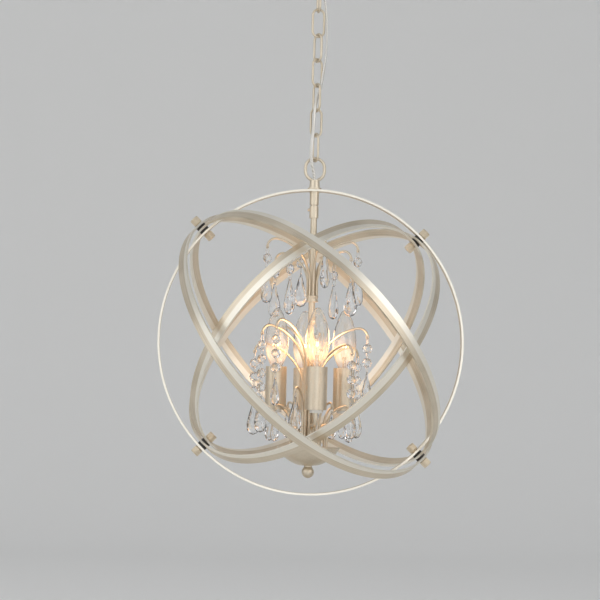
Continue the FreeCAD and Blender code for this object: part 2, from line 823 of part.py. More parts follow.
def nodes():
    parts = {
        "mounting_strap": [mountingStrap()],
        "ceiling_canopy": [ceilingCanopy()],
        "canopy_nipple": [canopyNipple()],
        "canopy_collar_nut": [canopyCollarNut()],
        "canopy_loop": [canopyLoop()],
        "supply_cord": [supplyCord()],
    }
    for index in range(len(linkTwists)):
        parts["chain_link_%d" % (index + 1)] = [chainLink(index)]
    fixture = {
        "hub_loop": [hubLoop()],
        "hub_washer": [hubWasher()],
        "stem_couplings": stemCouplings(),
        "coupling_set_screw": [couplingSetScrew()],
        "stem_tube": [stemTube()],
        "arm_collar": [armCollar()],
        "fixed_hoop": [fixedHoop()],
        "pivot_bolts": atPivots(pivotBolt),
        "pivot_cap_nuts": atPivots(pivotCapNut),
        "pivot_washers": atPivots(pivotWashers),
        "crystal_arms": topArms() + middleArms() + lowerArms(),
        "socket_arms": [placed(socketArm(), turn) for turn in around(lampCount, lampTurn)],
        "socket_sleeves": atLamps(socketSleeve()),
        "lamp_sockets": atLamps(lampSocket()),
        "bulb_glass": atLamps(bulbGlass()),
        "bulb_bases": atLamps(bulbBase()),
        "dish_bowl": [dishBowl()],
        "dish_cover": [dishCover()],
        "finial": [finial()],
    }
    for index in range(len(ringRadii)):
        fixture["orb_ring_%d" % (index + 1)] = [orbRing(index)]
    for name, pieces, firstPin, pivot, turn in strandPlaces():
        fixture[name] = [placed(solid, turn, pivot) for solid in strand(pieces, firstPin)]
    for name, shapes in fixture.items():
        parts[name] = atOrb(shapes)
    return parts


def main():
    os.makedirs("parts", exist_ok=True)
    for name, shapes in nodes().items():
        solids = [solid for shape in shapes for solid in shape.Solids]
        Part.Compound(solids).exportStep("parts/%s.step" % name)
    print("orb centre at", round(orbZ, 2))


main()
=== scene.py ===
import bpy
import json
import math
from mathutils import Matrix, Vector


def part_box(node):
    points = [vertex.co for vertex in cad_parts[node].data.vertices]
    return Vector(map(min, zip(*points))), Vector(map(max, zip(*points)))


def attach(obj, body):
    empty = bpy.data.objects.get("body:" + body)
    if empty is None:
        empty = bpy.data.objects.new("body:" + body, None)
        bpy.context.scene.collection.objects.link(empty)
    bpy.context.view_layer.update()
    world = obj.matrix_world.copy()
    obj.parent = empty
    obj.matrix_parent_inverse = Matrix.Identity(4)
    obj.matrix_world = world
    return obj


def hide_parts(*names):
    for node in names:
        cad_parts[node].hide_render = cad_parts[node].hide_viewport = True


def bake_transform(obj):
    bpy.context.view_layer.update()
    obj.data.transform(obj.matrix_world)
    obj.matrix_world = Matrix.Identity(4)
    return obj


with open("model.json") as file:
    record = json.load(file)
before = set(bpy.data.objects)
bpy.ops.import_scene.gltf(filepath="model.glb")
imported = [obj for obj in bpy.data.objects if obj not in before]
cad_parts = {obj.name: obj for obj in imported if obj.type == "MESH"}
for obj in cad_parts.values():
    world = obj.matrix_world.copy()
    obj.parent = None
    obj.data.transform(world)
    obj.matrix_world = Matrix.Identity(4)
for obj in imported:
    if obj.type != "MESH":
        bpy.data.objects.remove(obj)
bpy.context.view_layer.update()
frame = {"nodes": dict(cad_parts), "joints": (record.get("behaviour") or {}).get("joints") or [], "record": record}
nodes = frame["nodes"]
joints = {joint["name"]: joint for joint in frame["joints"]}
bodyOf = {node: body for body, members in frame["record"]["behaviour"]["bodies"].items() for node in members}


def boxOf(node):
    low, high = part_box(node)
    return low, high, (low + high) / 2


orbCentre = boxOf("fixed_hoop")[2]      # the hoop is a full circle round the orb's centre
linkCount = 7
ringCount = 4
lampCount = 4


camera = {
    "distance": 2.322,
    "turn": -2.84,              # degrees from straight in front
    "height": -0.0886,          # from the orb's centre, as are the aim's two values
    "aimAcross": -0.0135,
    "aimHeight": -0.0302,
    "roll": 1.38,
    "lens": 106.59,
    "sensor": 36.0,
    "shift": 0.1083,
}


def placeCamera(values):
    turn = math.radians(values["turn"])
    place = orbCentre + Vector((
        values["distance"] * math.sin(turn),
        -values["distance"] * math.cos(turn),
        values["height"],
    ))
    ahead = (orbCentre + Vector((values["aimAcross"], 0, values["aimHeight"])) - place).normalized()
    right = ahead.cross(Vector((0, 0, 1))).normalized()
    above = right.cross(ahead)
    roll = math.radians(values["roll"])
    rolledRight = right * math.cos(roll) + above * math.sin(roll)
    rolledUp = above * math.cos(roll) - right * math.sin(roll)
    cameraData = bpy.data.cameras.new("camera")
    cameraData.lens = values["lens"]
    cameraData.sensor_width = values["sensor"]
    cameraData.shift_y = values["shift"]
    cameraData.clip_end = 50
    cameraObject = bpy.data.objects.new("camera", cameraData)
    bpy.context.scene.collection.objects.link(cameraObject)
    matrix = Matrix((rolledRight, rolledUp, -ahead)).transposed().to_4x4()
    matrix.translation = place
    cameraObject.matrix_world = matrix
    bpy.context.scene.camera = cameraObject


placeCamera(camera)
print("camera placed")


def deselectAll():
    if bpy.context.object and bpy.context.object.mode != "OBJECT":
        bpy.ops.object.mode_set(mode="OBJECT")
    bpy.ops.object.select_all(action="DESELECT")


def activate(piece):
    deselectAll()
    piece.hide_set(False)
    piece.select_set(True)
    bpy.context.view_layer.objects.active = piece


# Vertices chosen by their place
def selectVertices(piece, wanted):
    bpy.ops.object.mode_set(mode="EDIT")
    bpy.ops.mesh.select_mode(type="VERT")
    bpy.ops.mesh.select_all(action="DESELECT")
    bpy.ops.object.mode_set(mode="OBJECT")
    for vertex in piece.data.vertices:
        vertex.select = wanted(vertex.co)
    bpy.ops.object.mode_set(mode="EDIT")


def joined(pieces, name):
    activate(pieces[0])
    for piece in pieces[1:]:
        piece.select_set(True)
    if len(pieces) > 1:
        bpy.ops.object.join()
    whole = bpy.context.object
    whole.name = name
    whole.data.name = name
    return whole


def meshCopy(master, matrix):
    copy = master.copy()
    copy.data = master.data.copy()
    copy.data.transform(matrix)
    bpy.context.scene.collection.objects.link(copy)
    return copy


def discard(*masters):
    for master in masters:
        bpy.data.objects.remove(master)


def setMaterial(piece, material):
    piece.data.materials.clear()
    piece.data.materials.append(material)


def finishNode(nodeName, material):
    setMaterial(nodes[nodeName], material)


def newGroup(name, inputs, outputs):
    group = bpy.data.node_groups.new(name, "ShaderNodeTree")
    for socketName, kind, value in inputs:
        socket = group.interface.new_socket(name=socketName, in_out="INPUT", socket_type=kind)
        if value is not None:
            socket.default_value = value
    for socketName, kind in outputs:
        group.interface.new_socket(name=socketName, in_out="OUTPUT", socket_type=kind)
    start = group.nodes.new("NodeGroupInput")
    end = group.nodes.new("NodeGroupOutput")
    return group, start, end


def addNode(tree, kind, **values):
    node = tree.nodes.new(kind)
    for key, value in values.items():
        setattr(node, key, value)
    return node


# Painted highlight along each band's edges: a brighter colour where light catches them
edgeHighlightStrip = {
    "wide": 0.0011,             # from each edge of a band in to its plain metal
    "bright": 0.0002,           # the brightest part of it
}


# Fine lines round a band: noise that is stretched square to the band's axis
def buildBrushedGroup():
    group, start, end = newGroup(
        "brushedBand",
        [("Point", "NodeSocketVector", None), ("Axis", "NodeSocketVector", (0, 1, 0)),
         ("Along", "NodeSocketFloat", 14.0), ("Across", "NodeSocketFloat", 2600.0),
         ("Half Width", "NodeSocketFloat", 0.0075)],
        [("Lines", "NodeSocketFloat"), ("Cloud", "NodeSocketFloat"), ("Edge Highlight", "NodeSocketFloat")],
    )
    link = group.links.new
    dot = addNode(group, "ShaderNodeVectorMath", operation="DOT_PRODUCT")
    across = addNode(group, "ShaderNodeMath", operation="MULTIPLY")
    along = addNode(group, "ShaderNodeVectorMath", operation="SCALE")
    lift = addNode(group, "ShaderNodeVectorMath", operation="SCALE")
    total = addNode(group, "ShaderNodeVectorMath", operation="ADD")
    lines = addNode(group, "ShaderNodeTexNoise")
    lines.inputs["Scale"].default_value = 1.0
    lines.inputs["Detail"].default_value = 3.0
    cloud = addNode(group, "ShaderNodeTexNoise")
    cloud.inputs["Scale"].default_value = 22.0
    cloud.inputs["Detail"].default_value = 2.0
    link(start.outputs["Point"], dot.inputs[0])
    link(start.outputs["Axis"], dot.inputs[1])
    link(dot.outputs["Value"], across.inputs[0])
    link(start.outputs["Across"], across.inputs[1])
    link(start.outputs["Point"], along.inputs[0])
    link(start.outputs["Along"], along.inputs["Scale"])
    link(start.outputs["Axis"], lift.inputs[0])
    link(across.outputs[0], lift.inputs["Scale"])
    link(along.outputs[0], total.inputs[0])
    link(lift.outputs[0], total.inputs[1])
    link(total.outputs[0], lines.inputs["Vector"])
    link(start.outputs["Point"], cloud.inputs["Vector"])
    # Mask for the painted highlight, rising towards each edge of a band
    offCentre = addNode(group, "ShaderNodeMath", operation="ABSOLUTE")
    inside = addNode(group, "ShaderNodeMath", operation="SUBTRACT")
    edge = addNode(group, "ShaderNodeMapRange")
    edge.inputs["From Min"].default_value = -edgeHighlightStrip["wide"]
    edge.inputs["From Max"].default_value = -edgeHighlightStrip["bright"]
    link(dot.outputs["Value"], offCentre.inputs[0])
    link(offCentre.outputs[0], inside.inputs[0])
    link(start.outputs["Half Width"], inside.inputs[1])
    link(inside.outputs[0], edge.inputs["Value"])
    link(edge.outputs["Result"], end.inputs["Edge Highlight"])
    link(lines.outputs["Fac"], end.inputs["Lines"])
    link(cloud.outputs["Fac"], end.inputs["Cloud"])
    return group


brushedBand = buildBrushedGroup()


def newMaterial(name):
    material = bpy.data.materials.new(name)
    material.use_nodes = True
    tree = material.node_tree
    shader = tree.nodes["Principled BSDF"]
    point = tree.nodes.new("ShaderNodeTexCoord")
    return material, tree, shader, point.outputs["Object"]


def colourRamp(tree, stops):
    ramp = tree.nodes.new("ShaderNodeValToRGB")
    elements = ramp.color_ramp.elements
    while len(elements) < len(stops):
        elements.new(0.5)
    for element, (place, colour) in zip(elements, stops):
        element.position = place
        element.color = (*colour, 1)
    return ramp


def mapRange(tree, source, low, high):
    node = tree.nodes.new("ShaderNodeMapRange")
    node.inputs["To Min"].default_value = low
    node.inputs["To Max"].default_value = high
    tree.links.new(source, node.inputs["Value"])
    return node.outputs["Result"]


def addBump(tree, shader, height, strength, distance):
    bump = tree.nodes.new("ShaderNodeBump")
    bump.inputs["Strength"].default_value = strength
    bump.inputs["Distance"].default_value = distance
    tree.links.new(height, bump.inputs["Height"])
    tree.links.new(bump.outputs["Normal"], shader.inputs["Normal"])


champagne = {
    "shadow": (0.56, 0.485, 0.37),
    "base": (0.74, 0.655, 0.52),
    "light": (0.85, 0.77, 0.635),
    "stops": (0.30, 0.50, 0.72),
    # painted highlight colour along the band edges
    "edgeHighlight": (0.93, 0.89, 0.79),
    "share": (0.6, 0.4),        # of the fine lines and of the cloud in the colour
    "metallic": 0.9,
    "roughness": (0.33, 0.48),
    "bump": 0.3,
}


# Satin champagne plating, brushed square to axis; halfWidth is a band's, whose edges get a painted highlight: a
# brighter colour where light catches them
def champagneMetal(name, axis, across=1300.0, along=9.0, halfWidth=10.0):
    material, tree, shader, point = newMaterial(name)
    centred = addNode(tree, "ShaderNodeMapping")
    centred.inputs["Location"].default_value = -orbCentre
    tree.links.new(point, centred.inputs["Vector"])
    grain = addNode(tree, "ShaderNodeGroup", node_tree=brushedBand)
    grain.inputs["Axis"].default_value = axis
    grain.inputs["Across"].default_value = across
    grain.inputs["Along"].default_value = along
    grain.inputs["Half Width"].default_value = halfWidth
    tree.links.new(centred.outputs["Vector"], grain.inputs["Point"])
    blend = addNode(tree, "ShaderNodeMath", operation="ADD")
    for output, share, socket in zip(("Lines", "Cloud"), champagne["share"], blend.inputs):
        tree.links.new(mapRange(tree, grain.outputs[output], 0.0, share), socket)
    stops = zip(champagne["stops"], (champagne["shadow"], champagne["base"], champagne["light"]))
    ramp = colourRamp(tree, list(stops))
    tree.links.new(blend.outputs[0], ramp.inputs["Fac"])
    # The painted edge highlight is mixed over the colour near each band's edges
    edgeHighlight = addNode(tree, "ShaderNodeMix", data_type="RGBA")
    edgeHighlight.inputs["B"].default_value = (*champagne["edgeHighlight"], 1)
    tree.links.new(grain.outputs["Edge Highlight"], edgeHighlight.inputs["Factor"])
    tree.links.new(ramp.outputs["Color"], edgeHighlight.inputs["A"])
    tree.links.new(edgeHighlight.outputs["Result"], shader.inputs["Base Color"])
    shader.inputs["Metallic"].default_value = champagne["metallic"]
    roughness = mapRange(tree, grain.outputs["Lines"], *champagne["roughness"])
    tree.links.new(roughness, shader.inputs["Roughness"])
    addBump(tree, shader, grain.outputs["Lines"], champagne["bump"], 0.0002)
    return material


def clearGlass(name, tint, roughness, ior):
    material, tree, shader, point = newMaterial(name)
    noise = addNode(tree, "ShaderNodeTexNoise")
    noise.inputs["Scale"].default_value = 40.0
    tree.links.new(point, noise.inputs["Vector"])
    ramp = colourRamp(tree, [(0.35, tint), (0.65, (1.0, 1.0, 1.0))])
    tree.links.new(noise.outputs["Fac"], ramp.inputs["Fac"])
    tree.links.new(ramp.outputs["Color"], shader.inputs["Base Color"])
    shader.inputs["Roughness"].default_value = roughness
    shader.inputs["Transmission Weight"].default_value = 1.0
    shader.inputs["IOR"].default_value = ior
    return material


bulbGlow = {
    "centre": -0.016,           # height of the filament from the orb's centre
    "reach": 0.026,
    "faint": (0.30, 0.13, 0.04),
    "hot": (1.0, 0.66, 0.30),
    "strength": 0.22,
    "flutes": (240.0, 240.0, 9.0),
    "fluteDepth": 0.0016,
}


# Clear glass with upright flutes, which takes a warm glow round the filament's height
def bulbGlassMaterial():
    material, tree, shader, point = newMaterial("clearBulbGlass")
    drawn = addNode(tree, "ShaderNodeMapping")
    drawn.inputs["Scale"].default_value = bulbGlow["flutes"]
    tree.links.new(point, drawn.inputs["Vector"])
    flutes = addNode(tree, "ShaderNodeTexNoise")
    flutes.inputs["Scale"].default_value = 1.0
    flutes.inputs["Detail"].default_value = 1.0
    tree.links.new(drawn.outputs["Vector"], flutes.inputs["Vector"])
    tint = colourRamp(tree, [(0.35, (1.0, 0.97, 0.91)), (0.65, (1.0, 1.0, 1.0))])
    tree.links.new(flutes.outputs["Fac"], tint.inputs["Fac"])
    tree.links.new(tint.outputs["Color"], shader.inputs["Base Color"])
    shader.inputs["Roughness"].default_value = 0.02
    shader.inputs["Transmission Weight"].default_value = 1.0
    shader.inputs["IOR"].default_value = 1.45
    addBump(tree, shader, flutes.outputs["Fac"], 0.5, bulbGlow["fluteDepth"])
    parts = addNode(tree, "ShaderNodeSeparateXYZ")
    tree.links.new(point, parts.inputs[0])
    offset = addNode(tree, "ShaderNodeMath", operation="SUBTRACT")
    offset.inputs[1].default_value = orbCentre.z + bulbGlow["centre"]
    tree.links.new(parts.outputs["Z"], offset.inputs[0])
    distance = addNode(tree, "ShaderNodeMath", operation="ABSOLUTE")
    tree.links.new(offset.outputs[0], distance.inputs[0])
    fade = addNode(tree, "ShaderNodeMapRange", interpolation_type="SMOOTHSTEP")
    fade.inputs["From Max"].default_value = bulbGlow["reach"]
    fade.inputs["To Min"].default_value = 1.0
    fade.inputs["To Max"].default_value = 0.0
    tree.links.new(distance.outputs[0], fade.inputs["Value"])
    streaked = addNode(tree, "ShaderNodeMath", operation="MULTIPLY")
    tree.links.new(fade.outputs["Result"], streaked.inputs[0])
    tree.links.new(mapRange(tree, flutes.outputs["Fac"], 0.25, 1.5), streaked.inputs[1])
    ramp = colourRamp(tree, [(0.0, (0.0, 0.0, 0.0)), (0.55, bulbGlow["faint"]), (1.0, bulbGlow["hot"])])
    tree.links.new(streaked.outputs[0], ramp.inputs["Fac"])
    tree.links.new(ramp.outputs["Color"], shader.inputs["Emission Color"])
    shader.inputs["Emission Strength"].default_value = bulbGlow["strength"]
    return material


def plainFinish(name, dark, light, roughness, metallic=0.0, scale=120.0, bump=0.1):
    material, tree, shader, point = newMaterial(name)
    noise = addNode(tree, "ShaderNodeTexNoise")
    noise.inputs["Scale"].default_value = scale
    noise.inputs["Detail"].default_value = 4.0
    tree.links.new(point, noise.inputs["Vector"])
    ramp = colourRamp(tree, [(0.35, dark), (0.65, light)])
    tree.links.new(noise.outputs["Fac"], ramp.inputs["Fac"])
    tree.links.new(ramp.outputs["Color"], shader.inputs["Base Color"])
    shader.inputs["Metallic"].default_value = metallic
    tree.links.new(mapRange(tree, noise.outputs["Fac"], *roughness), shader.inputs["Roughness"])
    addBump(tree, shader, noise.outputs["Fac"], bump, 0.0003)
    return material


def filamentMaterial():
    material, tree, shader, point = newMaterial("litFilament")
    noise = addNode(tree, "ShaderNodeTexNoise")
    noise.inputs["Scale"].default_value = 900.0
    tree.links.new(point, noise.inputs["Vector"])
    ramp = colourRamp(tree, [(0.3, (1.0, 0.50, 0.16)), (0.7, (1.0, 0.78, 0.42))])
    tree.links.new(noise.outputs["Fac"], ramp.inputs["Fac"])
    tree.links.new(ramp.outputs["Color"], shader.inputs["Emission Color"])
    tree.links.new(ramp.outputs["Color"], shader.inputs["Base Color"])
    shader.inputs["Emission Strength"].default_value = 7.0
    return material


# Clear insulation over two silver strands that wind along it
def cordMaterial():
    material, tree, shader, point = newMaterial("clearCordInsulation")
    wave = addNode(tree, "ShaderNodeTexWave", bands_direction="DIAGONAL")
    wave.inputs["Scale"].default_value = 240.0
    wave.inputs["Distortion"].default_value = 1.5
    tree.links.new(point, wave.inputs["Vector"])
    ramp = colourRamp(tree, [(0.25, (0.55, 0.53, 0.49)), (0.75, (0.88, 0.87, 0.83))])
    tree.links.new(wave.outputs["Fac"], ramp.inputs["Fac"])
    tree.links.new(ramp.outputs["Color"], shader.inputs["Base Color"])
    shader.inputs["Roughness"].default_value = 0.18
    shader.inputs["Metallic"].default_value = 0.25
    shader.inputs["Coat Weight"].default_value = 0.6
    addBump(tree, shader, wave.outputs["Fac"], 0.15, 0.0003)
    return material


hangingMetal = champagneMetal("champagneMetal", (0, 0, 1), across=0.0, along=1200.0)
cutCrystal = clearGlass("cutCrystal", (0.97, 0.98, 0.99), 0.0, 1.62)
wireMetal = plainFinish("brightWire", (0.60, 0.58, 0.54), (0.86, 0.85, 0.82), (0.18, 0.3), metallic=1.0)
bulbGlass = bulbGlassMaterial()
litFilament = filamentMaterial()
# Near-black washers: painted shade, standing in for the dark gaps between the bands at the pivots
gapShadeWasher = plainFinish("gapShadeWasher", (0.02, 0.018, 0.016), (0.05, 0.045, 0.04), (0.35, 0.5))
zincSteel = plainFinish("zincSteel", (0.50, 0.51, 0.53), (0.68, 0.69, 0.70), (0.3, 0.45), metallic=1.0)
glazedCeramic = plainFinish("glazedCeramic", (0.80, 0.78, 0.73), (0.88, 0.87, 0.83), (0.12, 0.25))
nickelBase = plainFinish("nickelBase", (0.60, 0.58, 0.54), (0.80, 0.78, 0.74), (0.2, 0.35), metallic=1.0)
cordInsulation = cordMaterial()
print("finishes made")


cord = {
    "width": 0.0044,
    "thick": 0.0026,
    "sides": 16,
    "waist": 0.22,              # how far the section draws in between its two cores
    "twist": 1.2,               # degrees from each point of the line to the next
    "stepsPerPoint": 8,
    "smoothAngle": 60.0,
    "bendReach": 0.9,           # share of the nearer run that bends round each hinge
    "points": (
        (0.0, 0.0, -3.0), (0.02, 0.01, -18.0), (0.0, 0.0, -34.0), (0.2, -0.4, -46.0), (2.2, -3.4, -58.0),
        (5.6, -6.6, -70.0), (6.6, -7.2, -83.0), (8.6, -6.3, -97.0), (10.3, -4.8, -112.0),
        (11.4, -3.8, -128.0), (11.5, -3.4, -144.0), (10.8, -3.2, -160.0), (9.4, -2.9, -175.0),
        (7.6, -2.3, -188.0), (5.7, -1.6, -201.0), (0.5, -2.2, -217.0), (-2.6, -6.2, -233.0),
        (-3.2, -7.2, -248.0), (-4.2, -7.4, -264.0), (-5.4, -6.8, -279.0), (-6.2, -6.1, -292.0),
        (-5.0, -4.8, -304.0), (-1.3, -1.2, -315.0), (-0.01, 0.0, -327.0), (0.0, 0.0, -341.0),
    ),                          # millimetres from the ceiling
}


# The smooth line through the cord's route, read from its spline
def cordLine(values):
    curveData = bpy.data.curves.new("cordRoute", "CURVE")
    curveData.dimensions = "3D"
    curveData.resolution_u = values["stepsPerPoint"]
    spline = curveData.splines.new("NURBS")
    spline.points.add(len(values["points"]) - 1)
    for splinePoint, point in zip(spline.points, values["points"]):
        splinePoint.co = (*[value / 1000 for value in point], 1)
    spline.order_u = 3
    spline.use_endpoint_u = True
    route = bpy.data.objects.new("cordRoute", curveData)
    bpy.context.scene.collection.objects.link(route)
    bpy.context.view_layer.update()
    flat = bpy.data.meshes.new_from_object(route)
    line = [vertex.co.copy() for vertex in flat.vertices]
    bpy.data.objects.remove(route)
    return line


# A flat two-core section: two round cores side by side with a waist between them
def cordSection(values):
    section = []
    for index in range(values["sides"]):
        angle = 2 * math.pi * index / values["sides"]
        narrowed = 1 - values["waist"] * math.sin(angle) ** 8
        height = values["thick"] / 2 * math.sin(angle) * narrowed
        section.append((values["width"] / 2 * math.cos(angle), height))
    return section


# The section stood square to the line at each of its points, turning slowly as it goes down
def cordRings(line, section, twist):
    rings = []
    side = Vector((1, 0, 0))
    for index, here in enumerate(line):
        before = line[max(index - 1, 0)]
        after = line[min(index + 1, len(line) - 1)]
        ahead = (after - before).normalized()
        side = (side - ahead * side.dot(ahead)).normalized()
        side = Matrix.Rotation(math.radians(twist), 3, ahead) @ side
        other = ahead.cross(side)
        rings.append([here + side * x + other * y for x, y in section])
    return rings


def cordPiece(name, rings, first, last):
    vertices = [point for ring in rings[first:last + 1] for point in ring]
    sides = len(rings[0])
    count = last - first + 1
    faces = []
    for row in range(count - 1):
        here, below = row * sides, (row + 1) * sides
        for step in range(sides):
            beside = (step + 1) % sides
            faces.append([here + step, here + beside, below + beside, below + step])
    faces.append(list(reversed(range(sides))))
    faces.append(list(range((count - 1) * sides, count * sides)))
    mesh = bpy.data.meshes.new(name)
    mesh.from_pydata(vertices, [], faces)
    piece = bpy.data.objects.new(name, mesh)
    bpy.context.scene.collection.objects.link(piece)
    activate(piece)
    bpy.ops.object.shade_smooth_by_angle(angle=math.radians(cord["smoothAngle"]))
    setMaterial(piece, cordInsulation)
    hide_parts("supply_cord")
    return piece


def makeCord():
    line = cordLine(cord)
    rings = cordRings(line, cordSection(cord), cord["twist"])
    cuts = [0]
    for number in range(1, linkCount + 1):
        middle = boxOf("chain_link_%d" % number)[2].z
        cuts.append(min(range(len(line)), key=lambda index: abs(line[index].z - middle)))
    cuts.append(len(line) - 1)
    for number, (first, last) in enumerate(zip(cuts, cuts[1:])):
        piece = cordPiece("cord_run_%d" % (number + 1), rings, first, last)
        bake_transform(piece)


makeCord()
print("cord made")


stones = {
    "girdle": 0.0013,
    "thick": 0.009,
    "beadThick": 0.0064,
    "beadRadius": 0.0066,
    "drop": (0.047, 0.023),             # length and width
    "smallDrop": (0.037, 0.016),
    "widest": 0.68,                     # share of a drop's length, from its top
    "rows": ((0.82, 0.62), (0.50, 0.90), (0.18, 1.0)),      # each row's size and share of the height
    "beadSides": 8,
    "dropSides": 16,
    "smallDropSides": 14,
    "neck": 0.16,                       # how a drop's outline swells from its top down
    "swellPower": 1.35,
    "swellWidth": 1.22,
    "holeRadius": 0.001,
    "holeEdge": 0.0025,
    "holeSides": 12,
    "bitLength": 0.02,
}


# One flat outline, raised in rows of facets on both sides of its girdle, then drilled
def cutStone(name, sides, shape, thick, centre, holes):
    deselectAll()
    bpy.ops.mesh.primitive_circle_add(vertices=sides, radius=1, fill_type="NGON")
    stone = bpy.context.object
    stone.name = name
    for vertex in stone.data.vertices:
        vertex.co.x, vertex.co.y = shape(math.atan2(vertex.co.x, vertex.co.y))
    bpy.ops.object.mode_set(mode="EDIT")
    bpy.ops.mesh.select_all(action="SELECT")
    bpy.ops.transform.translate(value=(0, 0, stones["girdle"] / 2))
    size, height = 1.0, stones["girdle"] / 2
    for rowSize, share in stones["rows"]:
        rowHeight = share * thick / 2
        bpy.ops.mesh.extrude_region_move(TRANSFORM_OT_translate={"value": (0, 0, rowHeight - height)})
        step = rowSize / size
        bpy.ops.transform.resize(value=(step, step, 1), center_override=(0, centre, 0))
        size, height = rowSize, rowHeight
    bpy.ops.mesh.select_all(action="SELECT")
    bpy.ops.mesh.quads_convert_to_tris(quad_method="SHORTEST_DIAGONAL", ngon_method="BEAUTY")
    bpy.ops.object.mode_set(mode="OBJECT")
    mirror = stone.modifiers.new("backHalf", "MIRROR")
    mirror.use_axis = (False, False, True)
    mirror.use_clip = False
    bpy.ops.object.modifier_apply(modifier=mirror.name)
    selectVertices(stone, lambda place: abs(place.z) < stones["girdle"] / 2 + 1e-6)
    bpy.ops.mesh.select_mode(type="EDGE")
    bpy.ops.mesh.bridge_edge_loops()
    bpy.ops.mesh.select_all(action="SELECT")
    bpy.ops.mesh.normals_make_consistent(inside=False)
    bpy.ops.object.mode_set(mode="OBJECT")
    for place in holes:
        drill(stone, place)
    upright = Matrix(((0, 0, 1), (1, 0, 0), (0, 1, 0)))     # thin along X, hanging down Z
    stone.data.transform(upright.to_4x4())
    setMaterial(stone, cutCrystal)
    return stone


def drill(stone, height):
    bpy.ops.mesh.primitive_cylinder_add(vertices=stones["holeSides"], radius=stones["holeRadius"],
                                        depth=stones["bitLength"], location=(0, height, 0))
    bit = bpy.context.object
    activate(stone)
    cut = stone.modifiers.new("hole", "BOOLEAN")
    cut.object = bit
    cut.operation = "DIFFERENCE"
    cut.solver = "EXACT"
    bpy.ops.object.modifier_apply(modifier=cut.name)
    discard(bit)


def beadShape(angle):
    return stones["beadRadius"] * math.sin(angle), stones["beadRadius"] * math.cos(angle)


# A pear outline that hangs from its top at 0
def dropShape(length, width):
    def shape(angle):
        down = (1 - math.cos(angle)) / 2        # 0 at the top, 1 at the foot
        belly = stones["neck"] + (1 - stones["neck"]) * down ** stones["swellPower"]
        swell = math.sin(angle) * belly * stones["swellWidth"]
        return width / 2 * max(-1, min(1, swell)), -length * down
    return shape


pinWire = {
    "radius": 0.00045,
    "bend": 0.0032,
    "length": 0.0108,
    "topLength": 0.0114,
    "lowerLength": 0.007,
    "rise": 0.0014,             # of the first pin's top above its hinge
    "play": 0.00005,            # of the wire in a crystal's hole
    "segments": (20, 8),        # round the ring and round the wire
}


# An oval wire link whose upper turning point is at the origin: a ring whose lower half is drawn down
def makePin(length):
    deselectAll()
    bend = pinWire["bend"]
    around, across = pinWire["segments"]
    bpy.ops.mesh.primitive_torus_add(major_segments=around, minor_segments=across, major_radius=bend,
                                     minor_radius=pinWire["radius"], rotation=(math.pi / 2, 0, 0))
    bpy.ops.object.transform_apply(location=False, rotation=True, scale=False)
    pin = bpy.context.object
    stretch = length - 2 * bend
    if stretch > 0:
        selectVertices(pin, lambda place: place.z < 1e-6)
        bpy.ops.transform.translate(value=(0, 0, -stretch))
        bpy.ops.object.mode_set(mode="OBJECT")
    else:
        pin.data.transform(Matrix.Diagonal((1, 1, length / (2 * bend), 1)))
    pin.data.transform(Matrix.Translation((0, 0, -min(bend, length / 2))))
    bpy.ops.object.shade_smooth()
    setMaterial(pin, wireMetal)
    return pin


strands = {
    "top_crystals": ("bd", "bd", "bd", "bd", "bd", "bd", "d", "bd"),       # b bead, s small drop, d drop
    "middle_crystals": ("bbs", "bbbd", "bs", "bbd", "bbbd", "bbbbd", "bbbs", "bbbd"),
    "lower_crystals": ("s", "s", "s", "s", "s", "s", "d", "s"),
}


def makeStrands():
    edge = stones["holeEdge"]
    dropLength, dropWidth = stones["drop"]
    smallLength, smallWidth = stones["smallDrop"]
    beadReach = stones["beadRadius"] - edge
    thick = stones["thick"]
    masters = {
        "b": cutStone("bead", stones["beadSides"], beadShape, stones["beadThick"], 0.0,
                      (beadReach, -beadReach)),
        "d": cutStone("drop", stones["dropSides"], dropShape(dropLength, dropWidth), thick,
                      -stones["widest"] * dropLength, (-edge,)),
        "s": cutStone("smallDrop", stones["smallDropSides"], dropShape(smallLength, smallWidth), thick,
                      -stones["widest"] * smallLength, (-edge,)),
    }
    lengths = (pinWire["length"], pinWire["topLength"], pinWire["lowerLength"])
    pins = {length: makePin(length) for length in lengths}
    slack = stones["holeRadius"] - pinWire["radius"] - pinWire["play"]
    for tier, patterns in strands.items():
        firstPin = pinWire["lowerLength"] if tier == "lower_crystals" else pinWire["topLength"]
        for number, pattern in enumerate(patterns, 1):
            node = "%s_%d" % (tier, number)
            hinge = joints[node + "_swing"]
            pivot = Vector(hinge["pos_m"])
            turn = math.atan2(hinge["axis"][0], -hinge["axis"][1])
            place = Matrix.Translation(pivot) @ Matrix.Rotation(turn, 4, "Z")
            height = pinWire["rise"]
            stonePieces, pinPieces = [], []
            for index, kind in enumerate(pattern):
                length = firstPin if index == 0 else pinWire["length"]
                pinPieces.append(meshCopy(pins[length], place @ Matrix.Translation((0, 0, height))))
                height -= length - slack
                hang = -beadReach if kind == "b" else edge      # of the stone's own origin below its pin
                stoneAt = Matrix.Translation((0, 0, height + hang))
                stonePieces.append(meshCopy(masters[kind], place @ stoneAt))
                height -= 2 * beadReach - slack                 # only a bead has another pin below it
            for piece, slot in ((joined(stonePieces, node + "_stones"), "cut_crystal"),
                                (joined(pinPieces, node + "_pins"), "nickel_base")):
                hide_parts(node)
                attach(piece, bodyOf[node])
    discard(*masters.values(), *pins.values())


makeStrands()
print("crystals made")


filament = {
    "foot": -0.022,             # heights from the orb's centre
    "top": -0.006,
    "spread": 0.0055,
    "wire": 0.0003,
    "coil": 0.0006,
    "ring": 0.045,
    "turn": 8.0,
    "bends": 6,
    "bendHeight": 0.004,
    "sides": 8,
}


